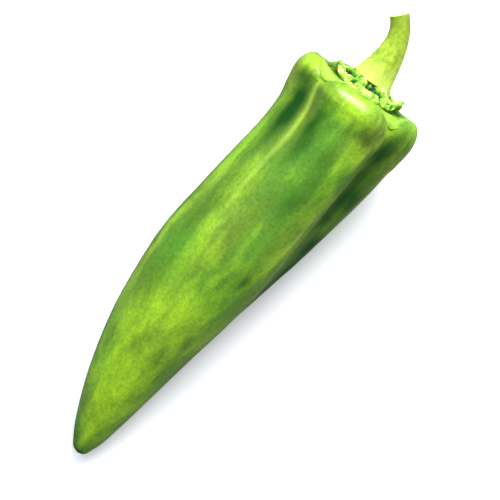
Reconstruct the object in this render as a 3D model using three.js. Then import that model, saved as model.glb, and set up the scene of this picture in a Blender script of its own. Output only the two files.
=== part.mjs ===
// A long green chilli pepper, as picked and lying on its side. The pod tapers from a blunt tip to a
// four-lobed shoulder, the calyx sits in the hollow of the shoulder, and the cut stem grows out of it.
//
// Millimetres. +X runs from the tip towards the stem, +Y is the pod's left and +Z is up.
// The origin is under the middle of the pepper, on the surface that it lies on.

import * as THREE from "three";

// Driving dimensions, in millimetres.
const POD_LENGTH = 157; // tip to the crest of the shoulder
const POD_WIDTH = 49.6; // across the shoulder, where the pod is widest
const POD_HEIGHT = 46; // top to bottom at the same place
const SHOULDER_ROLL = 8; // length over which the side rounds over into the crest
const HOLLOW_DEPTH = 2.6; // from the crest down to the floor that the calyx sits on
const CREASE_DEPTH = 4.2; // of the creases between the lobes, where they cross the shoulder
const RESTING_FLAT = 0.5; // how far the underside is pressed flat where the pod lies
const CALYX_DIAMETER = 28.5; // over the points of its lobes
const CALYX_HEIGHT = 5; // underside to the seat of the stem
const CALYX_RIM = 1.5; // thickness at the edge
const STEM_LENGTH = 25.5; // seat to cut end, round its bend
const STEM_BASE_DIAMETER = 14; // where it flares onto the calyx
const STEM_DIAMETER = 6.6; // at the cut end
const SEAT_GAP = 0.4; // clearance where one piece sits against the next

// Angles, in degrees.
const SHOULDER_TILT = 12; // how far the stem end leans up
const SHOULDER_TURN = 2; // and to the left
const STEM_BEND = 50; // direction of the cut end, to the left of the pod's axis
const STEM_RISE = 8; // direction of the cut end, above level

// The side of the pod, from the tip to the start of the shoulder's roll: share of that length, then
// share of the half width.
const SIDE_OUTLINE = [
  [0, 0],
  [0.006, 0.09],
  [0.023, 0.155],
  [0.068, 0.27],
  [0.18, 0.46],
  [0.338, 0.653],
  [0.54, 0.824],
  [0.743, 0.873],
  [0.9, 0.912],
  [0.95, 0.962],
  [0.985, 0.996],
  [1, 1],
];

// The pod's centre line at even steps from tip to crest: millimetres to the left, for the gentle bow,
// and height as a share of half the pod's height, which keeps the underside close to the table.
const CENTRE_LEFT = [0, 3.6, 5.2, 4.1, 1.1, -1.4, -0.6];
const CENTRE_HEIGHT = [0.2, 0.48, 0.675, 0.81, 0.875, 0.93, 1.04];

// The creases between the lobes. Angles are degrees round the pod from its top, positive to the left:
// where a crease crosses the shoulder, and how it swings round on its way towards the tip. Reach is
// the share of the length over which it fades out.
const CREASES = [
  { angle: 43, swing: -30, curl: -50, reach: 0.46 },
  { angle: 118, swing: -20, curl: 0, reach: 0.4 },
  { angle: -122, swing: -40, curl: 0, reach: 0.4 },
  { angle: -46, swing: -40, curl: -60, reach: 0.6 },
];
const CREASE_HALF_ANGLE = 15;

const ON_AXIS = 1e-6; // a radius this small is on the centre line
const LEAN_START = 0.9; // share of the length at which the stem end starts to lean
const CALYX_LOBES = 6;
const CALYX_NOTCH = 0.08; // depth of the notches between its lobes, as a share of the radius
const STEM_FLARE = 2; // how quickly the flare at the stem's base dies away
const STEM_STRAIGHT = 0.4; // share of the stem that grows straight out before it bends
const STEM_ELBOW = 0.7; // share of the stem at which its two straight lines would meet

// How finely the surfaces are divided.
const ROUND_POD = 48;
const ROUND_CALYX = 36;
const ROUND_STEM = 20;
const SIDE_STEPS = 40;
const ROLL_STEPS = 7;
const FLOOR_STEPS = 3;
const STEM_STEPS = 14;

const { smoothstep, degToRad, euclideanModulo } = THREE.MathUtils;

const hollowRadius = CALYX_DIAMETER / 2 + SEAT_GAP;
const crestRadius = (POD_WIDTH / 2 + hollowRadius) / 2;
const hollowFloor = POD_LENGTH - HOLLOW_DEPTH;
const calyxUnderside = hollowFloor + SEAT_GAP;
const stemSeat = calyxUnderside + CALYX_HEIGHT;

const centreLine = new THREE.CatmullRomCurve3(
  CENTRE_LEFT.map((left, i) => {
    const along = (POD_LENGTH * i) / (CENTRE_LEFT.length - 1);
    return new THREE.Vector3(along, left, (CENTRE_HEIGHT[i] * POD_HEIGHT) / 2);
  }),
);

// A place given along the pod, out from its centre line and round from the top, once the section is
// flattened to the pod's height, the centre line bowed and the stem end leaned.
function podPlace(along, out, angle) {
  const left = out * Math.sin(degToRad(angle));
  const up = (out * Math.cos(degToRad(angle)) * POD_HEIGHT) / POD_WIDTH;
  const share = THREE.MathUtils.clamp(along / POD_LENGTH, 0, 1);
  const lean = smoothstep(share, LEAN_START, 1);
  const tilt = Math.tan(degToRad(SHOULDER_TILT)) * up;
  const turn = Math.tan(degToRad(SHOULDER_TURN)) * left;
  const centre = centreLine.getPoint(share);
  return new THREE.Vector3(along - lean * (tilt + turn), left + centre.y, up + centre.z);
}

// How deep the creases cut the skin at one place: the share of the length, the radius and the angle.
function creaseInset(share, radius, angle) {
  const fromCrest = 1 - share;
  let inset = 0;
  for (const crease of CREASES) {
    const line = crease.angle + crease.swing * fromCrest + crease.curl * fromCrest ** 2;
    const away = euclideanModulo(angle - line + 180, 360) - 180;
    const fade = 1 - smoothstep(fromCrest, 0, crease.reach);
    inset += CREASE_DEPTH * fade * Math.exp(-((away / CREASE_HALF_ANGLE) ** 2));
  }
  return inset * smoothstep(radius, hollowRadius, crestRadius);
}

// Turns an outline of (radius, along) points about the centre line, then moves each point of the
// surface to where shape(radius, along, angle, facing) puts it. Facing is the surface's own direction
// there, as its parts outward and along.
function turned(outline, segments, shape) {
  const geometry = new THREE.LatheGeometry(outline, segments);
  const { position, normal } = geometry.attributes;
  for (let i = 0; i < position.count; i++) {
    const left = -position.getX(i);
    const up = position.getZ(i);
    const radius = Math.hypot(left, up);
    const angle = THREE.MathUtils.radToDeg(Math.atan2(left, up));
    const outward = (up * normal.getZ(i) - left * normal.getX(i)) / Math.max(radius, ON_AXIS);
    const facing = { outward, along: normal.getY(i) };
    position.setXYZ(i, ...shape(radius, position.getY(i), angle, facing));
  }
  geometry.computeVertexNormals();
  return geometry;
}

function podOutline() {
  const side = new THREE.SplineCurve(
    SIDE_OUTLINE.map(
      ([along, out]) =>
        new THREE.Vector2((out * POD_WIDTH) / 2, along * (POD_LENGTH - SHOULDER_ROLL)),
    ),
  );
  const outerRoll = new THREE.EllipseCurve(
    crestRadius,
    POD_LENGTH - SHOULDER_ROLL,
    POD_WIDTH / 2 - crestRadius,
    SHOULDER_ROLL,
    0,
    Math.PI / 2,
  );
  const innerRoll = new THREE.EllipseCurve(
    crestRadius,
    hollowFloor,
    crestRadius - hollowRadius,
    HOLLOW_DEPTH,
    Math.PI / 2,
    Math.PI,
  );
  const floor = new THREE.LineCurve(
    new THREE.Vector2(hollowRadius, hollowFloor),
    new THREE.Vector2(0, hollowFloor),
  );
  return [
    ...side.getPoints(SIDE_STEPS),
    ...outerRoll.getPoints(ROLL_STEPS).slice(1),
    ...innerRoll.getPoints(ROLL_STEPS).slice(1),
    ...floor.getPoints(FLOOR_STEPS).slice(1),
  ];
}

// The pod: one closed skin with four lobes, pressed flat where it lies.
function podGeometry() {
  const geometry = turned(podOutline(), ROUND_POD, (radius, along, angle, facing) => {
    const inset = creaseInset(along / POD_LENGTH, radius, angle);
    return podPlace(along - facing.along * inset, radius - facing.outward * inset, angle);
  });
  geometry.computeBoundingBox();
  const table = geometry.boundingBox.min.z + RESTING_FLAT;
  const { position } = geometry.attributes;
  for (let i = 0; i < position.count; i++) {
    position.setZ(i, Math.max(position.getZ(i), table));
  }
  return geometry;
}

// The calyx: a shallow lobed cone in the hollow, flat on top where the stem sits.
function calyxGeometry() {
  const radius = CALYX_DIAMETER / 2;
  const seatRadius = STEM_BASE_DIAMETER / 2 + SEAT_GAP;
  const outline = [
    [0, calyxUnderside],
    [radius / 2, calyxUnderside],
    [radius - CALYX_RIM / 2, calyxUnderside],
    [radius, calyxUnderside + CALYX_RIM / 2],
    [radius - CALYX_RIM / 2, calyxUnderside + CALYX_RIM],
    [(radius + seatRadius) / 2, (calyxUnderside + CALYX_RIM + stemSeat) / 2],
    [seatRadius, stemSeat],
    [seatRadius / 2, stemSeat],
    [0, stemSeat],
  ].map(([out, along]) => new THREE.Vector2(out, along));
  return turned(outline, ROUND_CALYX, (out, along, angle) => {
    const notch = (CALYX_NOTCH * (1 - Math.cos(degToRad(angle * CALYX_LOBES)))) / 2;
    const edge = smoothstep(out, seatRadius, radius);
    return podPlace(along, out * (1 - notch * edge), angle);
  });
}

// The stem: a round stalk that flares onto the calyx and bends on its way to the cut end.
function stemGeometry() {
  const tiltSlope = Math.tan(degToRad(SHOULDER_TILT));
  const turnSlope = Math.tan(degToRad(SHOULDER_TURN));
  const rooted = new THREE.Vector3(1, turnSlope, tiltSlope).normalize();
  const bend = degToRad(STEM_BEND);
  const rise = degToRad(STEM_RISE);
  const cutEnd = new THREE.Vector3(
    Math.cos(bend) * Math.cos(rise),
    Math.sin(bend) * Math.cos(rise),
    Math.sin(rise),
  );
  const base = podPlace(stemSeat, 0, 0).addScaledVector(rooted, SEAT_GAP);
  const straight = base.clone().addScaledVector(rooted, STEM_STRAIGHT * STEM_LENGTH);
  const elbow = base.clone().addScaledVector(rooted, STEM_ELBOW * STEM_LENGTH);
  const tip = elbow.clone().addScaledVector(cutEnd, (1 - STEM_ELBOW) * STEM_LENGTH);
  const path = new THREE.CubicBezierCurve3(base, straight, elbow, tip);
  const frames = path.computeFrenetFrames(STEM_STEPS);

  const geometry = new THREE.CylinderGeometry(1, 1, 1, ROUND_STEM, STEM_STEPS);
  const { position } = geometry.attributes;
  for (let i = 0; i < position.count; i++) {
    const share = position.getY(i) + 0.5;
    const step = Math.round(share * STEM_STEPS);
    const flare = ((STEM_BASE_DIAMETER - STEM_DIAMETER) / 2) * (1 - share) ** STEM_FLARE;
    const radius = STEM_DIAMETER / 2 + flare;
    const place = path
      .getPointAt(share)
      .addScaledVector(frames.normals[step], -radius * position.getX(i))
      .addScaledVector(frames.binormals[step], radius * position.getZ(i));
    position.setXYZ(i, ...place);
  }
  geometry.computeVertexNormals();
  return geometry;
}

function piece(name, geometry, color, roughness) {
  const material = new THREE.MeshStandardMaterial({ color, roughness, metalness: 0 });
  const mesh = new THREE.Mesh(geometry, material);
  mesh.name = name;
  return mesh;
}

const pepper = new THREE.Group();
pepper.add(
  piece("pod", podGeometry(), 0x78a535, 0.3),
  piece("calyx", calyxGeometry(), 0x8dbf3f, 0.6),
  piece("stem", stemGeometry(), 0xa8ca40, 0.5),
);

// The origin goes under the middle of the whole pepper, on the resting plane.
const extent = new THREE.Box3().setFromObject(pepper, true);
const middle = extent.getCenter(new THREE.Vector3());
pepper.position.set(-middle.x, -middle.y, -extent.min.z);

export default pepper;
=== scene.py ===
# %% [markdown]
# # A long green chilli pepper
# This lesson builds one green chilli pepper lying on a white table, seen from straight above. There
# are three things to make: the pod, the calyx in the hollow of its shoulder, and the stem. The
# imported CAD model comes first, because it fixes where everything is and how big it is.

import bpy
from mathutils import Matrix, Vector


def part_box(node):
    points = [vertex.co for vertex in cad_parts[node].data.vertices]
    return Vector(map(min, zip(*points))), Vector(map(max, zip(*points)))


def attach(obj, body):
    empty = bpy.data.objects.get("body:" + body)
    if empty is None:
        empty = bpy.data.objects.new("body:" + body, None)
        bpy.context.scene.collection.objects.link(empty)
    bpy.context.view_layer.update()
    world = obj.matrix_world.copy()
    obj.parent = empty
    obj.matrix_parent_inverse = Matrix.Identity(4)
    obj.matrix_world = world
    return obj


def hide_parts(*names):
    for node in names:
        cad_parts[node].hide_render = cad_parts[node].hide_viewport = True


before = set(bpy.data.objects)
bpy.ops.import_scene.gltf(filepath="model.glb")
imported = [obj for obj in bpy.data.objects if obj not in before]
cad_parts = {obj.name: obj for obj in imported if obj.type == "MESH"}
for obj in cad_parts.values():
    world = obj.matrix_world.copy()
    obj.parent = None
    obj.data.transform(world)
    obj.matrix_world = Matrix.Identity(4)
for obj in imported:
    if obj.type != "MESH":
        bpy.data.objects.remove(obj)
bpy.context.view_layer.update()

# %% [markdown]
# The shapes are worked out in millimetres, because that is how a grower or a cook would measure a
# pepper, and turned into metres only when a mesh is finished. Three short functions do most of the
# arithmetic: one eases a value in and out, one raises a soft bump round a point, and one follows a
# smooth line through a few evenly spaced values.

# %% Arithmetic helpers
import math

import bmesh
import bpy
from mathutils import Vector, geometry, noise

MM = 0.001


def ease(value, low, high):
    """0 below low, 1 above high, and a smooth rise between them."""
    t = min(max((value - low) / (high - low), 0), 1)
    return t * t * (3 - 2 * t)


def bump(distance):
    """1 at no distance, falling away on both sides like a bell, to almost nothing at 2."""
    return math.exp(-distance * distance)


def along_line(values, share):
    """The value at a share of the way along a smooth line through evenly spaced values."""
    last = len(values) - 1
    step = min(int(share * last), last - 1)
    t = share * last - step
    start, end = values[step], values[step + 1]
    before = values[step - 1] if step > 0 else start + (start - end)
    after = values[step + 2] if step + 2 <= last else end + (end - start)
    leaving = (end - before) / 2
    arriving = (after - start) / 2
    cubic = (start - end) * 2 + leaving + arriving
    square = (end - start) * 3 - leaving * 2 - arriving
    return cubic * t**3 + square * t**2 + leaving * t + start


def angle_between(a, b):
    """How far angle a is round from angle b, from -180 to 180 degrees."""
    return (a - b + 180) % 360 - 180


print("a third of the way up a ramp from 0 to 1:", round(ease(1 / 3, 0, 1), 3))

# %% [markdown]
# All three pieces start as bodies of revolution, like something thrown on a potter's wheel, because
# that gives an even skin that is easy to shape afterwards. The spin operator turns an outline about
# the X axis. The first and last points of the outline lie on the axis, so each end comes out as a
# ring of points in one place, and merging them closes the skin.

# %% Spin an outline into a closed skin
TOUCHING = 1e-4


def turned(outline, segments):
    """A closed body about the X axis, from (along, out) points that start and end on the axis."""
    bm = bmesh.new()
    points = [bm.verts.new((along, 0, out)) for along, out in outline]
    edges = [bm.edges.new(pair) for pair in zip(points, points[1:])]
    bmesh.ops.spin(
        bm,
        geom=points + edges,
        cent=(0, 0, 0),
        axis=(1, 0, 0),
        angle=math.tau,
        steps=segments,
        use_merge=True,
    )
    bmesh.ops.remove_doubles(bm, verts=bm.verts, dist=TOUCHING)
    bmesh.ops.recalc_face_normals(bm, faces=bm.faces)
    bm.normal_update()
    return bm


def around(point):
    """How far out from the X axis a point is, and how many degrees round from top to left."""
    return math.hypot(point.y, point.z), math.degrees(math.atan2(point.y, point.z))


print("a point on the left is", around(Vector((0, 1, 0)))[1], "degrees round")

# %% [markdown]
# The pod's sizes are those of the CAD part. A long frying pepper has a blunt tip, widens quickly,
# stays nearly parallel and then swells again at the shoulder, where the skin rolls over and dips
# into the shallow hollow that holds the calyx.

# %% The pod's outline
POD_LENGTH = 157
POD_WIDTH = 49.6
POD_HEIGHT = 46
SHOULDER_ROLL = 8
HOLLOW_DEPTH = 2.6
CALYX_RADIUS = 14.25
SEAT_GAP = 0.4
# the side, as shares of its length and of half the pod's width
SIDE_OUTLINE = (
    (0, 0),
    (0.006, 0.09),
    (0.023, 0.155),
    (0.068, 0.27),
    (0.18, 0.46),
    (0.338, 0.653),
    (0.54, 0.824),
    (0.743, 0.873),
    (0.9, 0.912),
    (0.95, 0.962),
    (0.985, 0.996),
    (1, 1),
)
SIDE_STEPS = 250
ROLL_STEPS = 30
FLOOR_STEPS = 12
POD_SEGMENTS = 240

hollow_radius = CALYX_RADIUS + SEAT_GAP
crest_radius = (POD_WIDTH / 2 + hollow_radius) / 2
hollow_floor = POD_LENGTH - HOLLOW_DEPTH


def pod_outline():
    """The side from tip to shoulder, the roll over the crest, and the floor of the hollow."""
    side_length = POD_LENGTH - SHOULDER_ROLL
    stations = [
        Vector((along * side_length, out * POD_WIDTH / 2)) for along, out in SIDE_OUTLINE
    ]
    points = [along_line(stations, i / SIDE_STEPS) for i in range(SIDE_STEPS + 1)]
    points[0].y = 0
    for i in range(1, ROLL_STEPS + 1):
        turn = math.pi / 2 * i / ROLL_STEPS
        outer = POD_WIDTH / 2 - crest_radius
        out = crest_radius + outer * math.cos(turn)
        points.append(Vector((side_length + SHOULDER_ROLL * math.sin(turn), out)))
    for i in range(1, ROLL_STEPS + 1):
        turn = math.pi / 2 * i / ROLL_STEPS
        inner = crest_radius - hollow_radius
        out = crest_radius - inner * math.sin(turn)
        points.append(Vector((hollow_floor + HOLLOW_DEPTH * math.cos(turn), out)))
    for i in range(1, FLOOR_STEPS + 1):
        points.append(Vector((hollow_floor, hollow_radius * (1 - i / FLOOR_STEPS))))
    return points


pod = turned(pod_outline(), POD_SEGMENTS)
print("pod skin as spun:", len(pod.verts), "points")

# %% [markdown]
# The shoulder has four lobes, and the creases between them run down the pod and fade out. Each
# crease is a valley whose floor follows a wandering line round the pod, and a second, broader and
# shallower valley over it leaves the lobes domed. The two sides of a valley needn't be alike, so
# each crease has a pair of widths, in degrees. The seam says how many degrees up the valley's side
# its pale line runs: in the valley to the right it lies up against the top lobe.

# %% Creases between the lobes
# angles: degrees round the pod from its top, at even steps from the crest down to where it ends
CREASES = (
    {"angles": (40, 44, 40, 37, 35, 30, 24, 18), "reach": 72, "widths": (19, 13), "seam": 0},
    {
        "angles": (-47, -55, -57, -61, -66, -74, -85, -98, -110),
        "reach": 110,
        "widths": (15, 15),
        "seam": 9,
    },
    {"angles": (118, 114, 110), "reach": 62, "widths": (15, 15), "seam": 0},
    {"angles": (-122, -130, -138), "reach": 62, "widths": (15, 15), "seam": 0},
)
CREASE_DEPTH = 4.4
LOBE_DOME = 1.1
LOBE_WIDTH = 30


def crease_place(crease, along, angle):
    """How far round from a crease's floor a place is, and how much of the crease is left there."""
    share = (POD_LENGTH - along) / crease["reach"]
    line = along_line(crease["angles"], min(max(share, 0), 1))
    return angle_between(angle, line), 1 - ease(share, 0, 1)


def crease_inset(along, out, angle):
    """How deep all the creases cut the skin at one place, in millimetres."""
    inset = 0
    for crease in CREASES:
        away, strength = crease_place(crease, along, angle)
        left, right = crease["widths"]
        valley = CREASE_DEPTH * bump(away / (left if away > 0 else right))
        dome = LOBE_DOME * bump(away / LOBE_WIDTH)
        inset += strength * (valley + dome)
    return inset * ease(out, hollow_radius, crest_radius)


print("deepest cut at the crest:", round(crease_inset(POD_LENGTH, crest_radius, 35), 2), "mm")

# %% [markdown]
# Real skin is never as even as a turned shape. It has a few dents where it pressed on the plant or
# in the crate, and long, low swellings all over. Dents are given by their place along the pod and
# round it, and the swellings come from noise, which gives the same result every time it runs.

# %% Dents and swellings
# (along in mm, degrees round, half length in mm, half width in degrees, depth in mm)
DENTS = (
    (140, -25, 3, 14, 0.7),
    (132, -18, 6, 9, 0.5),
    (118, -12, 10, 12, 0.5),
    (104, 6, 9, 12, -0.35),
    (80, -41, 4, 6, 0.7),
    (66, 10, 12, 14, 0.35),
    (52, -44, 3.5, 7, 0.6),
    (36, 12, 8, 18, 0.3),
    (138, -66, 4, 7, 0.5),
    (120, -66, 5, 7, 0.35),
    (120, 60, 10, 14, 0.4),
    (92, 50, 12, 14, 0.45),
)
SWELL_HEIGHT = 0.32
SWELL_LENGTH = 24
SWELL_WIDTH = 9
RIPPLE_HEIGHT = 0.08
RIPPLE_SIZE = 4


def dent_inset(along, angle):
    """How deep the dents are at one place, in millimetres."""
    inset = 0
    for place, turn, half_length, half_width, depth in DENTS:
        off_along = (along - place) / half_length
        off_round = angle_between(angle, turn) / half_width
        inset += depth * bump(math.hypot(off_along, off_round))
    return inset


def swelling(point):
    """How far the skin stands proud at one place, in millimetres."""
    long_wave = Vector((point.x / SWELL_LENGTH, point.y / SWELL_WIDTH, point.z / SWELL_WIDTH))
    ripple = point / RIPPLE_SIZE
    return SWELL_HEIGHT * noise.noise(long_wave) + RIPPLE_HEIGHT * noise.noise(ripple)


print("dents on the pod:", len(DENTS))

# %% [markdown]
# Last, the straight pod is bent into its real pose. Its centre line bows to one side and rises
# towards the stem, its section is a little flatter than it is wide, and the stem end leans up, so
# that the calyx can be seen from above. The calyx and the stem go through the same bend.

# %% Bend the pod into its pose
CENTRE_LEFT = (0, 3.6, 5.2, 4.1, 1.1, -1.4, -0.6)
CENTRE_HEIGHT = (0.2, 0.48, 0.675, 0.81, 0.875, 0.93, 1.04)
LEAN_START = 0.9
SHOULDER_TILT = math.radians(12)
SHOULDER_TURN = math.radians(2)
RESTING_FLAT = 0.5


def posed(point):
    """Where a point of the straight pepper goes once it is bowed, flattened and leaned."""
    share = min(max(point.x / POD_LENGTH, 0), 1)
    up = point.z * POD_HEIGHT / POD_WIDTH
    lean = ease(share, LEAN_START, 1)
    slope = math.tan(SHOULDER_TILT) * up + math.tan(SHOULDER_TURN) * point.y
    left = along_line(CENTRE_LEFT, share)
    height = along_line(CENTRE_HEIGHT, share) * POD_HEIGHT / 2
    return Vector((point.x - lean * slope, point.y + left, up + height))


skin_places = []
for vert in pod.verts:
    out, angle = around(vert.co)
    skin_places.append((vert.co.x, out, angle))
    on_side = ease(out, hollow_radius, crest_radius)
    inset = crease_inset(vert.co.x, out, angle)
    inset += on_side * (dent_inset(vert.co.x, angle) - swelling(vert.co))
    vert.co = posed(vert.co - vert.normal * inset)

table_height = min(vert.co.z for vert in pod.verts) + RESTING_FLAT
for vert in pod.verts:
    vert.co.z = max(vert.co.z, table_height)
print("resting height in the pod's own millimetres:", round(table_height, 2))

# %% [markdown]
# The CAD model's pod says where the pepper lies. One shift takes the pod's own millimetres to that
# place, and the calyx and the stem use the same shift.

# %% Find the pepper's place on the table
pod_low, pod_high = (Vector(corner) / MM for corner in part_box("pod"))
own_low_x = min(vert.co.x for vert in pod.verts)
own_middle_y = (min(v.co.y for v in pod.verts) + max(v.co.y for v in pod.verts)) / 2
shift = Vector(
    (
        pod_low.x - own_low_x,
        (pod_low.y + pod_high.y) / 2 - own_middle_y,
        pod_low.z - table_height,
    )
)
print("shift in millimetres:", [round(value, 2) for value in shift])


def finished(name, bm, node, attributes=()):
    """Makes a piece of a mesh in millimetres: moves it to its place, in metres, and adds it."""
    bmesh.ops.translate(bm, verts=bm.verts, vec=shift)
    bmesh.ops.scale(bm, verts=bm.verts, vec=(MM, MM, MM))
    mesh = bpy.data.meshes.new(name)
    bm.to_mesh(mesh)
    bm.free()
    mesh.shade_smooth()
    for label, values in dict(attributes).items():
        mesh.attributes.new(label, "FLOAT", "POINT").data.foreach_set("value", values)
    piece = bpy.data.objects.new(name, mesh)
    bpy.context.collection.objects.link(piece)
    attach(piece, "root")
    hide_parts(node)
    print(name, "has", len(mesh.polygons), "faces")
    return piece


# %% [markdown]
# The skin's colour isn't even. Where the wall is thin and the sun reached it, the green turns to
# lime, and on the crest and the shoulder's lobes that lime is partly painted light. In the valleys
# and dents it is deep green with painted shade over it, and the creases and the crest carry a pale
# line: a seam with a painted highlight along the creases, a painted highlight round the crest.
# These follow the pod's own form, so each is worked out point by point and stored on the mesh, for
# the material.

# %% Mark where the skin is lime, deep and pale, with painted light, shade and highlight
# (along in mm, degrees round, half length in mm, half width in degrees, amount)
LIME_AND_LIT_PATCHES = (
    # the crest and the shoulder's lobes: lime, partly painted light round the highlight
    (157, -3, 4, 40, 0.55),
    (154, 62, 5, 24, 0.6),
    (152, -84, 6, 25, 0.4),
    (150, -44, 5, 12, 0.5),
    (149, 26, 4, 10, 0.6),
    (149, -4, 7, 24, 0.6),
    (144, -40, 4, 8, 0.4),
    # the right flank of the top lobe
    (134, -34, 6, 7, 0.45),
    (121, -28, 4, 7, 0.45),
    (119, -46, 5, 9, 0.5),
    (100, -46, 25, 5, 0.4),
    # along the left crease, and left of it
    (108, 30, 9, 4, 0.35),
    (97, 27, 8, 4, 0.4),
    (87, 22, 7, 5, 0.4),
    (88, 67, 35, 9, 0.5),
    # the belly, down to the tip
    (78, -8, 7, 12, 0.3),
    (54, 0, 18, 24, 0.75),
    (42, 13, 8, 18, 0.4),
    (38, -36, 9, 10, 0.4),
    (32, 60, 10, 14, 0.4),
    (18, 5, 20, 36, 0.9),
    (14, -52, 10, 24, 0.6),
)
DEEP_AND_SHADE_PATCHES = (
    # the valley of the left crease: deep green with painted shade
    (147, 60, 5, 8, 0.7),
    (139, 54, 6, 8, 1),
    (132, 53, 7, 9, 1),
    (123, 54, 9, 10, 0.5),
    (96, 42, 14, 8, 0.45),
    # the top lobe: darker dips, partly painted shade
    (142, -22, 2.4, 9, 0.4),
    (136, 18, 7, 8, 0.75),
    (128, -12, 6, 12, 0.4),
    (127, 15, 8, 8, 0.55),
    (117, -36, 5, 8, 0.35),
    (113, -16, 9, 14, 0.45),
    (108, 34, 9, 18, 0.3),
    # the valley of the right crease: deep green with painted shade
    (151, -62, 6, 9, 0.2),
    (142, -62, 6, 10, 0.9),
    (138, -65, 4, 7, 0.95),
    (134, -62, 8, 16, 1),
    (123, -67, 8, 17, 1),
    (114, -70, 7, 15, 1),
    (103, -83, 8, 13, 1),
    (90, -90, 10, 12, 1),
    (75, -97, 12, 12, 0.9),
    # dents and shaded places on the belly, down to the tip, darkened with painted shade
    (83, 9, 8, 9, 0.35),
    (80, -41, 3, 5, 0.8),
    (52, -45, 4, 7, 0.8),
    (50, 84, 24, 12, 0.35),
    (41, -46, 8, 7, 0.3),
    (27, -34, 8, 10, 0.3),
    (3, 65, 4, 45, 0.7),
)
PALE_LINE_WIDTH = 3.2
PALE_LINE_FADES = 149
# the painted highlight round the crest's rim
RIM_HIGHLIGHT_RADIUS = 17.4
RIM_HIGHLIGHT_WIDTH = 0.7


def patched(patches, along, angle):
    """How much of one place a set of soft oval patches covers, where they overlap like glazes."""
    uncovered = 1
    for place, turn, half_length, half_width, amount in patches:
        off_along = (along - place) / half_length
        off_round = angle_between(angle, turn) / half_width
        uncovered *= 1 - amount * bump(math.hypot(off_along, off_round))
    return 1 - uncovered


def pale_and_highlight_line(along, out, angle):
    """How strongly the pale line and painted highlight show: on the creases and round the crest."""
    total = 0
    for crease in CREASES:
        away, strength = crease_place(crease, along, angle)
        total += strength**0.5 * bump((away - crease["seam"]) / PALE_LINE_WIDTH)
    total *= 1 - ease(along, PALE_LINE_FADES, POD_LENGTH)
    # round the crest the line is a painted highlight on the rim
    inside_crest = ease(along, hollow_floor, POD_LENGTH - HOLLOW_DEPTH / 2)
    total += inside_crest * bump((out - RIM_HIGHLIGHT_RADIUS) / RIM_HIGHLIGHT_WIDTH)
    return min(total, 1)


skin_marks = {
    # lime: real lime, and painted light as well on the crest and the shoulder's lobes
    "lime": [patched(LIME_AND_LIT_PATCHES, along, angle) for along, _, angle in skin_places],
    # deep: real deep green with painted shade over it in the valleys and dents
    "deep": [patched(DEEP_AND_SHADE_PATCHES, along, angle) for along, _, angle in skin_places],
    # pale: a seam with painted highlight along the creases, and a painted highlight round the crest
    "pale": [pale_and_highlight_line(*place) for place in skin_places],
    "length": [along * MM for along, _, _ in skin_places],
}
pod_piece = finished("pod_skin", pod, "pod", skin_marks)

# %% [markdown]
# The calyx is the dried ring of sepals. It starts as a shallow cone, is drawn in to uneven lobes at
# its edge, and is then crumpled with noise: broad folds, small crumbs on top of them, and a crack
# round the foot of the stem. Two flaps of dry sepal curl up away from the pod.

# %% The calyx
CALYX_HEIGHT = 5
CALYX_RIM = 1.5
STEM_BASE_RADIUS = 7
CALYX_SEGMENTS = 216
CALYX_STEPS = 36
CALYX_RIM_STEPS = 8
CALYX_SLOPE_POWER = 1.6
CALYX_LOBES = 6
CALYX_NOTCH = 0.1
WANDER_AROUND = 2
WANDER_SLICE = 0.3
FOLD_HEIGHT = 0.8
FOLDS_AROUND = 5
FOLD_LENGTH = 5
FOLD_ROUGHNESS = 0.9
CRUMB_HEIGHT = 0.4
CRUMB_SIZE = 1.1
CRUMB_ROUGHNESS = 0.8
OCTAVE_GAP = 2.0
OCTAVES = 3
CRACK_RADIUS = 8.8
CRACK_WIDTH = 0.9
CRACK_DEPTH = 1.2
CRACK_TURN = -35
CRACK_SPREAD = 45
CRACK_OPENING = 1.2
CRACK_WANDER = 2
NOTCH_WANDER = 2
CRUMB_SHADE = 0.5
# the flaps: degrees round, half width in degrees, height in mm
FLAPS = ((-80, 24, 4.4), (72, 24, 3.6))

calyx_underside = hollow_floor + SEAT_GAP
stem_seat = calyx_underside + CALYX_HEIGHT
seat_radius = STEM_BASE_RADIUS + SEAT_GAP


def calyx_outline():
    """A flat underside, a rounded rim, a slope up to the seat of the stem, and the seat."""
    rim_middle = calyx_underside + CALYX_RIM / 2
    rim_inside = CALYX_RADIUS - CALYX_RIM / 2
    points = [(calyx_underside, 0), (calyx_underside, rim_inside / 2)]
    for i in range(CALYX_RIM_STEPS + 1):
        turn = math.pi * (i / CALYX_RIM_STEPS - 0.5)
        along = rim_middle + CALYX_RIM / 2 * math.sin(turn)
        points.append((along, rim_inside + CALYX_RIM / 2 * math.cos(turn)))
    slope_start = calyx_underside + CALYX_RIM
    for i in range(1, CALYX_STEPS + 1):
        share = i / CALYX_STEPS
        along = slope_start + (stem_seat - slope_start) * share**CALYX_SLOPE_POWER
        points.append((along, rim_inside + (seat_radius - rim_inside) * share))
    points += [(stem_seat, seat_radius / 2), (stem_seat, 0)]
    return points


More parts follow.
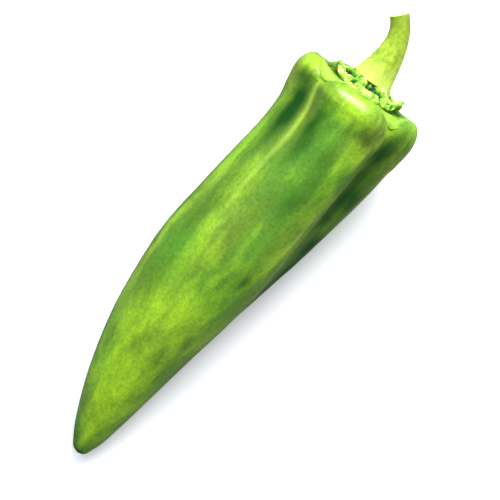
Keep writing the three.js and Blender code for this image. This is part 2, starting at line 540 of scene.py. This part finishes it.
def crumpled(place, out, angle):
    """How far the folds raise one place on the calyx, its painted light and shade, and its notch.
    """
    left, up = math.sin(math.radians(angle)), math.cos(math.radians(angle))
    wander = noise.noise(Vector((left, up, WANDER_SLICE)) * WANDER_AROUND)
    ring = Vector((left, up, 0)) * FOLDS_AROUND
    ring.z = out / FOLD_LENGTH
    fold_and_shade = noise.fractal(ring, FOLD_ROUGHNESS, OCTAVE_GAP, OCTAVES)
    crumb = noise.fractal(place / CRUMB_SIZE, CRUMB_ROUGHNESS, OCTAVE_GAP, OCTAVES)
    open_here = CRACK_OPENING * bump(angle_between(angle, CRACK_TURN) / CRACK_SPREAD)
    crack = bump((out - CRACK_RADIUS - wander) / CRACK_WIDTH)
    crack *= max(open_here + CRACK_WANDER * wander, 0)
    raised = FOLD_HEIGHT * fold_and_shade + CRUMB_HEIGHT * crumb - CRACK_DEPTH * crack
    notch = 0.5 - 0.5 * math.cos(CALYX_LOBES * math.radians(angle) + NOTCH_WANDER * wander)
    # raised places are painted lighter and the crack darker: painted light and shade
    return raised, fold_and_shade + CRUMB_SHADE * crumb - crack, notch


calyx = turned(calyx_outline(), CALYX_SEGMENTS)
calyx_light_and_shade = []
for vert in calyx.verts:
    out, angle = around(vert.co)
    raised, shade, notch = crumpled(vert.co, out, angle)
    calyx_light_and_shade.append(shade)
    edge = ease(out, seat_radius, CALYX_RADIUS)
    flap = sum(height * bump(angle_between(angle, turn) / half) for turn, half, height in FLAPS)
    top = ease(vert.co.x, calyx_underside, calyx_underside + CALYX_RIM)
    straight = vert.co.copy()
    straight.y *= 1 - CALYX_NOTCH * notch * edge
    straight.z *= 1 - CALYX_NOTCH * notch * edge
    straight.x += top * raised * ease(out, 0, seat_radius) + flap * edge**2
    vert.co = posed(straight)
calyx_piece = finished("calyx_ring", calyx, "calyx", {"fold_and_shade": calyx_light_and_shade})

# %% [markdown]
# The stem is a stalk that flares onto the calyx, stands straight for a little and then bends to one
# side. It is spun as a straight stalk and then laid along a curve. Soft ribs run along it, fading
# towards the end, where the knife left a pale, slightly hollow face.

# %% The stem
STEM_LENGTH = 25.5
STEM_END_RADIUS = 3.3
STEM_FLARE = 2
STEM_STRAIGHT = 0.4
STEM_ELBOW = 0.7
STEM_BEND = math.radians(50)
STEM_RISE = math.radians(8)
STEM_STEPS = 90
STEM_SEGMENTS = 96
PATH_POINTS = 200
CUT_BEVEL = 0.35
CUT_HOLLOW = 0.5
CUT_HOLLOW_SLOPE = 0.6
CUT_STEPS = 6
CUT_FACE_STARTS = 0.97
CUT_EDGE_SHARPNESS = 8
RIBS = 5
RIB_HEIGHT = 0.22
RIB_TWIST = 0.6
RIB_FADING = 0.5
RIB_FULL_RADIUS = 0.8 * STEM_END_RADIUS
GRAIN_HEIGHT = 0.12
GRAINS_AROUND = 5
GRAINS_ALONG = 3


def stem_path():
    """The stem's curve, from its seat on the calyx to the cut end, as evenly spaced points."""
    rooted = Vector((1, math.tan(SHOULDER_TURN), math.tan(SHOULDER_TILT))).normalized()
    level = math.cos(STEM_RISE)
    cut_way = Vector(
        (math.cos(STEM_BEND) * level, math.sin(STEM_BEND) * level, math.sin(STEM_RISE))
    )
    base = posed(Vector((stem_seat, 0, 0)))
    straight = base + rooted * STEM_LENGTH * STEM_STRAIGHT
    elbow = base + rooted * STEM_LENGTH * STEM_ELBOW
    tip = elbow + cut_way * STEM_LENGTH * (1 - STEM_ELBOW)
    return geometry.interpolate_bezier(base, straight, elbow, tip, PATH_POINTS)


def stem_outline():
    """The straight stalk: share of the length as along, and radius as out."""
    flare = STEM_BASE_RADIUS - STEM_END_RADIUS
    points = [(0, 0), (0, STEM_BASE_RADIUS / 2)]
    for i in range(STEM_STEPS + 1):
        share = i / STEM_STEPS
        points.append((share, STEM_END_RADIUS + flare * (1 - share) ** STEM_FLARE))
    bevel = CUT_BEVEL / STEM_LENGTH
    points.append((1 + bevel / 2, STEM_END_RADIUS - CUT_BEVEL / 2))
    points.append((1 + bevel / 2, STEM_END_RADIUS - CUT_BEVEL))
    for i in range(1, CUT_STEPS + 1):
        share = i / CUT_STEPS
        dished = CUT_HOLLOW / STEM_LENGTH * ease(share, 0, CUT_HOLLOW_SLOPE)
        points.append((1 + bevel / 2 - dished, (STEM_END_RADIUS - CUT_BEVEL) * (1 - share)))
    return points


path = stem_path()


def on_path(share):
    """The place at a share of the stem's curve, and its direction there."""
    step = min(max(share, 0), 1) * (len(path) - 1)
    low = min(int(step), len(path) - 2)
    way = (path[low + 1] - path[low]).normalized()
    beyond = (share - min(max(share, 0), 1)) * STEM_LENGTH
    return path[low].lerp(path[low + 1], step - low) + way * beyond, way


stem = turned(stem_outline(), STEM_SEGMENTS)
stem_marks = {"share": [], "cut": []}
for vert in stem.verts:
    out, angle = around(vert.co)
    share = vert.co.x
    turn = math.radians(angle)
    left, up = math.sin(turn), math.cos(turn)
    rib = math.cos(RIBS * (turn + RIB_TWIST * share)) * (1 - RIB_FADING * share)
    rib *= ease(out, 0, RIB_FULL_RADIUS)
    grain = noise.noise(Vector((up * GRAINS_AROUND, left * GRAINS_AROUND, share * GRAINS_ALONG)))
    proud = RIB_HEIGHT * rib + GRAIN_HEIGHT * grain
    radius = out + proud * min(out / STEM_END_RADIUS, 1)
    centre, way = on_path(share)
    side = Vector((0, 0, 1)).cross(way).normalized()
    top = way.cross(side)
    vert.co = centre + side * radius * left + top * radius * up
    stem_marks["share"].append(share)
    on_face = share > CUT_FACE_STARTS and out < STEM_END_RADIUS - CUT_BEVEL / 2
    cut_edge = ease(share, CUT_FACE_STARTS, 1) ** CUT_EDGE_SHARPNESS
    stem_marks["cut"].append(1.0 if on_face else cut_edge)
stem_piece = finished("stem_stalk", stem, "stem", stem_marks)

# %% [markdown]
# Colours are picked as the hex values that a screen shows, and one function turns them into the
# linear values that the renderer adds up. A second small function adds a node, sets it up and
# links it, so that each material below reads as a recipe.

# %% Material helpers
def linear(hex_colour):
    """A hex colour as linear red, green, blue and alpha."""
    parts = [int(hex_colour[i : i + 2], 16) / 255 for i in (1, 3, 5)]
    parts = [c / 12.92 if c <= 0.04045 else ((c + 0.055) / 1.055) ** 2.4 for c in parts]
    return (*parts, 1)


def add_node(tree, kind, inputs=(), **settings):
    """Adds a node, sets it up, and fills or links its inputs."""
    node = tree.nodes.new(kind)
    for name, value in settings.items():
        setattr(node, name, value)
    for name, value in dict(inputs).items():
        if isinstance(value, bpy.types.NodeSocket):
            tree.links.new(value, node.inputs[name])
        else:
            node.inputs[name].default_value = value
    return node


def blank_material(name):
    """A new material with an empty node tree."""
    material = bpy.data.materials.new(name)
    material.use_nodes = True
    material.node_tree.nodes.clear()
    return material, material.node_tree


# the inputs and the output of a colour mix, by number, because their names repeat
SHARE, FIRST, SECOND, MIXED = 0, 6, 7, 2

print("lime as linear:", [round(c, 3) for c in linear("#90ba1e")])

# %% [markdown]
# Pepper skin is a thin, clear, waxy cuticle over juicy green flesh. The wax gives bright, slightly
# soft reflections, the flesh below lets a little light in and spreads it, and the green is mottled
# because the wall's thickness varies. Each size below is that of one kind of pattern, in
# millimetres, and some patterns are stretched along the pod, the way the skin grew.

# %% Waxy pepper skin
TONE_SIZE = 16
MOTTLE_SIZE = 9
STREAK_SIZE = 2.4
WAVE_SIZE = 7
WRINKLE_SIZE = 6
SCAR_LENGTH = 1.8
# real flecks and pores are under 0.3 mm, too fine to show from here, so they are drawn coarser
FLECK_SIZE = 1.0
PORE_SIZE = 0.9
ALONG_GRAIN = (0.45, 1, 1)
ALONG_STREAKS = (0.08, 1, 1)
PALE_LINE_STRENGTH = 0.42
DEEP_AND_SHADE_BREAKUP = -0.6


def waxy_skin():
    """Green pepper skin: mottled flesh colours under a clear waxy cuticle."""
    material, tree = blank_material("waxy_pepper_skin")
    place = add_node(tree, "ShaderNodeTexCoord").outputs["Object"]
    # lime: real lime, and painted light on the crest and the shoulder's lobes
    lime = add_node(tree, "ShaderNodeAttribute", attribute_name="lime").outputs["Fac"]
    # deep: deep green with painted shade in the valleys and dents
    deep = add_node(tree, "ShaderNodeAttribute", attribute_name="deep").outputs["Fac"]
    # pale: the seam line with its painted highlight, and the painted highlight on the crest's rim
    pale = add_node(tree, "ShaderNodeAttribute", attribute_name="pale").outputs["Fac"]
    length = add_node(tree, "ShaderNodeAttribute", attribute_name="length").outputs["Fac"]
    grain = add_node(
        tree, "ShaderNodeMapping", {"Vector": place, "Scale": ALONG_GRAIN}
    ).outputs["Vector"]
    lines = add_node(
        tree, "ShaderNodeMapping", {"Vector": place, "Scale": ALONG_STREAKS}
    ).outputs["Vector"]

    # the flesh goes from olive to fresh green in broad, soft areas
    tone = add_node(
        tree,
        "ShaderNodeTexNoise",
        {"Vector": grain, "Scale": 1 / (TONE_SIZE * MM), "Detail": 2},
    ).outputs["Fac"]
    fresh = add_node(
        tree, "ShaderNodeMapRange", {"Value": tone, "From Min": 0.35, "From Max": 0.65}
    ).outputs["Result"]
    colour = add_node(
        tree,
        "ShaderNodeMix",
        {SHARE: fresh, FIRST: linear("#5e7820"), SECOND: linear("#4a7c1e")},
        data_type="RGBA",
    ).outputs[MIXED]

    # mottling and fine lengthwise streaks break up the edges of the lime areas
    mottle = add_node(
        tree,
        "ShaderNodeTexNoise",
        {"Vector": grain, "Scale": 1 / (MOTTLE_SIZE * MM), "Detail": 4},
    ).outputs["Fac"]
    spread = add_node(
        tree,
        "ShaderNodeMapRange",
        {"Value": mottle, "From Min": 0.3, "From Max": 0.7, "To Min": -0.35, "To Max": 0.35},
    ).outputs["Result"]
    streak = add_node(
        tree,
        "ShaderNodeTexNoise",
        {"Vector": lines, "Scale": 1 / (STREAK_SIZE * MM), "Detail": 3},
    ).outputs["Fac"]
    streaks = add_node(
        tree,
        "ShaderNodeMapRange",
        {"Value": streak, "From Min": 0.3, "From Max": 0.7, "To Min": -0.12, "To Max": 0.12},
    ).outputs["Result"]
    broken = add_node(
        tree, "ShaderNodeMath", {0: spread, 1: streaks}, operation="ADD"
    ).outputs["Value"]
    limed = add_node(
        tree, "ShaderNodeMath", {0: lime, 1: broken}, operation="ADD", use_clamp=True
    ).outputs["Value"]
    # the lime mix also carries the painted light on the crest and the shoulder's lobes
    colour = add_node(
        tree,
        "ShaderNodeMix",
        {SHARE: limed, FIRST: colour, SECOND: linear("#90ba1e")},
        data_type="RGBA",
    ).outputs[MIXED]

    # a fine grain, lighter and darker by turns
    fleck = add_node(
        tree,
        "ShaderNodeTexNoise",
        {"Vector": place, "Scale": 1 / (FLECK_SIZE * MM), "Detail": 3},
    ).outputs["Fac"]
    colour = add_node(
        tree,
        "ShaderNodeMix",
        {SHARE: 0.5, FIRST: colour, SECOND: fleck},
        data_type="RGBA",
        blend_type="OVERLAY",
    ).outputs[MIXED]

    # deep green with painted shade in the valleys and dents, the pale line with its painted
    # highlight, and the dark scar at the very tip
    darkened = add_node(
        tree,
        "ShaderNodeMath",
        {0: broken, 1: DEEP_AND_SHADE_BREAKUP, 2: deep},
        operation="MULTIPLY_ADD",
        use_clamp=True,
    ).outputs["Value"]
    lined = add_node(
        tree, "ShaderNodeMath", {0: pale, 1: PALE_LINE_STRENGTH}, operation="MULTIPLY"
    ).outputs["Value"]
    scarred = add_node(
        tree,
        "ShaderNodeMapRange",
        {
            "Value": length,
            "From Min": SCAR_LENGTH / 3 * MM,
            "From Max": SCAR_LENGTH * MM,
            "To Min": 1,
            "To Max": 0,
        },
    ).outputs["Result"]
    for amount, tint in ((darkened, "#073a05"), (lined, "#98c04a"), (scarred, "#1a2a10")):
        colour = add_node(
            tree,
            "ShaderNodeMix",
            {SHARE: amount, FIRST: colour, SECOND: linear(tint)},
            data_type="RGBA",
        ).outputs[MIXED]

    # broad waves, fine lengthwise wrinkles and pores in the wax
    wave = add_node(
        tree,
        "ShaderNodeTexNoise",
        {"Vector": place, "Scale": 1 / (WAVE_SIZE * MM), "Detail": 2},
    ).outputs["Fac"]
    wrinkle = add_node(
        tree,
        "ShaderNodeTexNoise",
        {"Vector": grain, "Scale": 1 / (WRINKLE_SIZE * MM), "Detail": 3},
        noise_type="RIDGED_MULTIFRACTAL",
    ).outputs["Fac"]
    pore = add_node(
        tree,
        "ShaderNodeTexNoise",
        {"Vector": place, "Scale": 1 / (PORE_SIZE * MM), "Detail": 1},
    ).outputs["Fac"]
    waved = add_node(
        tree, "ShaderNodeBump", {"Height": wave, "Strength": 0.6, "Distance": 0.25 * MM}
    ).outputs["Normal"]
    wrinkled = add_node(
        tree,
        "ShaderNodeBump",
        {"Height": wrinkle, "Strength": 0.35, "Distance": 0.08 * MM, "Normal": waved},
    ).outputs["Normal"]
    pored = add_node(
        tree,
        "ShaderNodeBump",
        {"Height": pore, "Strength": 0.3, "Distance": 0.02 * MM, "Normal": wrinkled},
    ).outputs["Normal"]
    gloss = add_node(
        tree, "ShaderNodeMapRange", {"Value": wave, "To Min": 0.28, "To Max": 0.42}
    ).outputs["Result"]
    shader = add_node(
        tree,
        "ShaderNodeBsdfPrincipled",
        {
            "Base Color": colour,
            "Roughness": gloss,
            "IOR": 1.45,
            "Subsurface Weight": 0.1,
            "Subsurface Radius": (0.6, 1.0, 0.1),
            "Subsurface Scale": 2 * MM,
            "Normal": pored,
        },
    ).outputs["BSDF"]
    add_node(tree, "ShaderNodeOutputMaterial", {"Surface": shader})
    return material


pod_piece.data.materials.append(waxy_skin())
print("pod finish:", pod_piece.data.materials[0].name)

# %% [markdown]
# The calyx is green but dry, so it is matte and hardly shines. Its raised folds and crumbs are
# painted a pale green as painted light, and its cracks dark as painted shade. The shade of the
# folds was stored on the mesh, and a fine grain is added to it before a colour ramp turns it into
# greens.

# %% Dry calyx
# the real grain is under 0.3 mm, too fine to show from here, so it is drawn coarser
CALYX_GRAIN_SIZE = 1.0
CALYX_GRAIN_SHADE = 1.2
# the ramp runs from painted shade in the cracks to painted light on the raised folds
CALYX_GREENS = ((0, "#0e3006"), (0.3, "#4e8420"), (0.65, "#98bc44"), (1, "#d0dc8c"))


def dry_calyx():
    """Dried sepals: pale green painted light on the folds, painted shade in the cracks, and matte.
    """
    material, tree = blank_material("dry_calyx")
    place = add_node(tree, "ShaderNodeTexCoord").outputs["Object"]
    fold_and_shade = add_node(tree, "ShaderNodeAttribute", attribute_name="fold_and_shade").outputs["Fac"]
    grain = add_node(
        tree,
        "ShaderNodeTexNoise",
        {"Vector": place, "Scale": 1 / (CALYX_GRAIN_SIZE * MM), "Detail": 4, "Roughness": 0.6},
    ).outputs["Fac"]
    height = add_node(
        tree,
        "ShaderNodeMath",
        {0: grain, 1: CALYX_GRAIN_SHADE, 2: fold_and_shade},
        operation="MULTIPLY_ADD",
    ).outputs["Value"]
    lightness = add_node(
        tree, "ShaderNodeMapRange", {"Value": height, "From Min": -0.2, "From Max": 1.4}
    ).outputs["Result"]
    greens = add_node(tree, "ShaderNodeValToRGB", {"Fac": lightness})
    elements = greens.color_ramp.elements
    elements.remove(elements[1])
    elements[0].position = CALYX_GREENS[0][0]
    elements[0].color = linear(CALYX_GREENS[0][1])
    for position, green in CALYX_GREENS[1:]:
        elements.new(position).color = linear(green)
    crackle = add_node(
        tree, "ShaderNodeBump", {"Height": grain, "Strength": 0.8, "Distance": 0.25 * MM}
    ).outputs["Normal"]
    shader = add_node(
        tree,
        "ShaderNodeBsdfPrincipled",
        {
            "Base Color": greens.outputs["Color"],
            "Roughness": 0.7,
            "Specular IOR Level": 0.2,
            "Normal": crackle,
        },
    ).outputs["BSDF"]
    add_node(tree, "ShaderNodeOutputMaterial", {"Surface": shader})
    return material


calyx_piece.data.materials.append(dry_calyx())
print("calyx finish:", calyx_piece.data.materials[0].name)

# %% [markdown]
# The stem is firm and fibrous, with a dull natural shine. It is yellow-green with lighter specks,
# with a painted highlight at its foot, a little darker towards the cut, and almost white where the
# knife went through.
# Each of these is one more layer of colour over the last.

# %% Fibrous stem
SPECK_SIZE = 1.6


def fibrous_stem():
    """A yellow-green stalk with light specks, a painted base highlight and a whitish cut face."""
    material, tree = blank_material("fibrous_stem")
    place = add_node(tree, "ShaderNodeTexCoord").outputs["Object"]
    share = add_node(tree, "ShaderNodeAttribute", attribute_name="share").outputs["Fac"]
    cut = add_node(tree, "ShaderNodeAttribute", attribute_name="cut").outputs["Fac"]
    speck = add_node(
        tree,
        "ShaderNodeTexNoise",
        {"Vector": place, "Scale": 1 / (SPECK_SIZE * MM), "Detail": 4, "Roughness": 0.6},
    ).outputs["Fac"]
    specked = add_node(
        tree, "ShaderNodeMapRange", {"Value": speck, "From Min": 0.35, "From Max": 0.7}
    ).outputs["Result"]
    aged = add_node(
        tree,
        "ShaderNodeMapRange",
        {"Value": share, "From Min": 0.5, "From Max": 1.0, "To Min": 0, "To Max": 0.7},
    ).outputs["Result"]
    # a painted highlight at the foot of the stem
    foot_highlight = add_node(
        tree,
        "ShaderNodeMapRange",
        {"Value": share, "From Min": 0.3, "From Max": 0.0, "To Min": 0, "To Max": 0.6},
    ).outputs["Result"]
    colour = linear("#688c1a")
    layers = ((specked, "#9cb036"), (aged, "#5f7616"), (foot_highlight, "#c2d468"), (cut, "#c6d080"))
    for amount, tint in layers:
        colour = add_node(
            tree,
            "ShaderNodeMix",
            {SHARE: amount, FIRST: colour, SECOND: linear(tint)},
            data_type="RGBA",
        ).outputs[MIXED]
    fibre = add_node(
        tree, "ShaderNodeBump", {"Height": speck, "Strength": 0.5, "Distance": 0.2 * MM}
    ).outputs["Normal"]
    shader = add_node(
        tree,
        "ShaderNodeBsdfPrincipled",
        {
            "Base Color": colour,
            "Roughness": 0.38,
            "IOR": 1.45,
            "Subsurface Weight": 0.1,
            "Subsurface Radius": (0.6, 1.0, 0.1),
            "Subsurface Scale": 1 * MM,
            "Normal": fibre,
        },
    ).outputs["BSDF"]
    add_node(tree, "ShaderNodeOutputMaterial", {"Surface": shader})
    return material


stem_piece.data.materials.append(fibrous_stem())
print("stem finish:", stem_piece.data.materials[0].name)

# %% [markdown]
# The table is plain white. It is only a stage for the pepper, so it is large and has no detail. It
# is kept out of reflections, because a white table mirrored all along the pod's wax would wash out
# the green at its edges.

# %% White table
TABLE_SIZE = 6


def white_table():
    """A smooth, matt white surface, very slightly cool."""
    material, tree = blank_material("white_table")
    shader = add_node(
        tree,
        "ShaderNodeBsdfPrincipled",
        {"Base Color": linear("#f3f4fa"), "Roughness": 0.9, "Specular IOR Level": 0.1},
    ).outputs["BSDF"]
    add_node(tree, "ShaderNodeOutputMaterial", {"Surface": shader})
    return material


table_shape = bmesh.new()
bmesh.ops.create_grid(table_shape, x_segments=1, y_segments=1, size=TABLE_SIZE / 2)
table_mesh = bpy.data.meshes.new("table")
table_shape.to_mesh(table_mesh)
table_shape.free()
table = bpy.data.objects.new("table", table_mesh)
bpy.context.collection.objects.link(table)
table.data.materials.append(white_table())
table.visible_glossy = False
print("table:", TABLE_SIZE, "m square")

# %% [markdown]
# The camera hangs straight above the pepper, with a long lens so that nothing looks stretched. It
# is turned about the vertical, so the pod runs from the lower left of the picture to the upper
# right.

# %% Camera
CAMERA_HEIGHT = 1.2
VIEW_WIDTH = 0.1667
VIEW_CENTRE = (-0.0025, -0.0032)
POD_SLANT = math.radians(51.8)
SENSOR_WIDTH = 36
SEES_AS_FAR_AS = 20

camera_data = bpy.data.cameras.new("camera")
camera_data.sensor_width = SENSOR_WIDTH
middle_height = POD_HEIGHT / 2 * MM
camera_data.lens = SENSOR_WIDTH * (CAMERA_HEIGHT - middle_height) / VIEW_WIDTH
camera_data.clip_end = SEES_AS_FAR_AS
camera = bpy.data.objects.new("camera", camera_data)
camera.location = (*VIEW_CENTRE, CAMERA_HEIGHT)
camera.rotation_euler = (0, 0, -POD_SLANT)
bpy.context.collection.objects.link(camera)
bpy.context.scene.camera = camera
print("lens in millimetres:", round(camera_data.lens, 1))

# %% [markdown]
# The light is a soft white studio. A large ceiling light does most of the work, a key light to the
# upper left of the picture gives the lobes their form, and a smaller light beyond the stem draws
# the bright shapes on the shoulder. Of the three, only that last one shows in reflections, because
# the wax would mirror the two large ones as a grey haze. The white room fills the shadows a little.

# %% Lights
ROOM_BRIGHTNESS = 0.2


def soft_light(name, bearing, height, distance, size, power):
    """A rectangular softbox aimed at the pepper, in metres, degrees and watts.

    Its bearing is counted anticlockwise from the right of the picture.
    """
    data = bpy.data.lights.new(name, "AREA")
    data.shape = "RECTANGLE"
    data.size, data.size_y = size
    data.energy = power
    light = bpy.data.objects.new(name, data)
    turn = math.radians(bearing) - POD_SLANT
    rise = math.radians(height)
    level = math.cos(rise)
    way = Vector((math.cos(turn) * level, math.sin(turn) * level, math.sin(rise)))
    light.location = way * distance
    light.rotation_euler = way.to_track_quat("Z", "Y").to_euler()
    bpy.context.collection.objects.link(light)
    return light


ceiling = soft_light("ceiling_light", 0, 90, distance=1.5, size=(2.4, 2.4), power=29.5)
key = soft_light("key_light", 118, 42, distance=1.0, size=(0.9, 0.9), power=4.5)
ceiling.visible_glossy = False
key.visible_glossy = False
soft_light("stem_end_light", 66, 38, distance=0.8, size=(0.56, 0.28), power=13)

room = bpy.data.worlds.new("white_room")
room.use_nodes = True
background = room.node_tree.nodes["Background"].inputs
background["Color"].default_value = (1, 1, 1, 1)
background["Strength"].default_value = ROOM_BRIGHTNESS
bpy.context.scene.world = room
bpy.context.scene.view_settings.view_transform = "Standard"
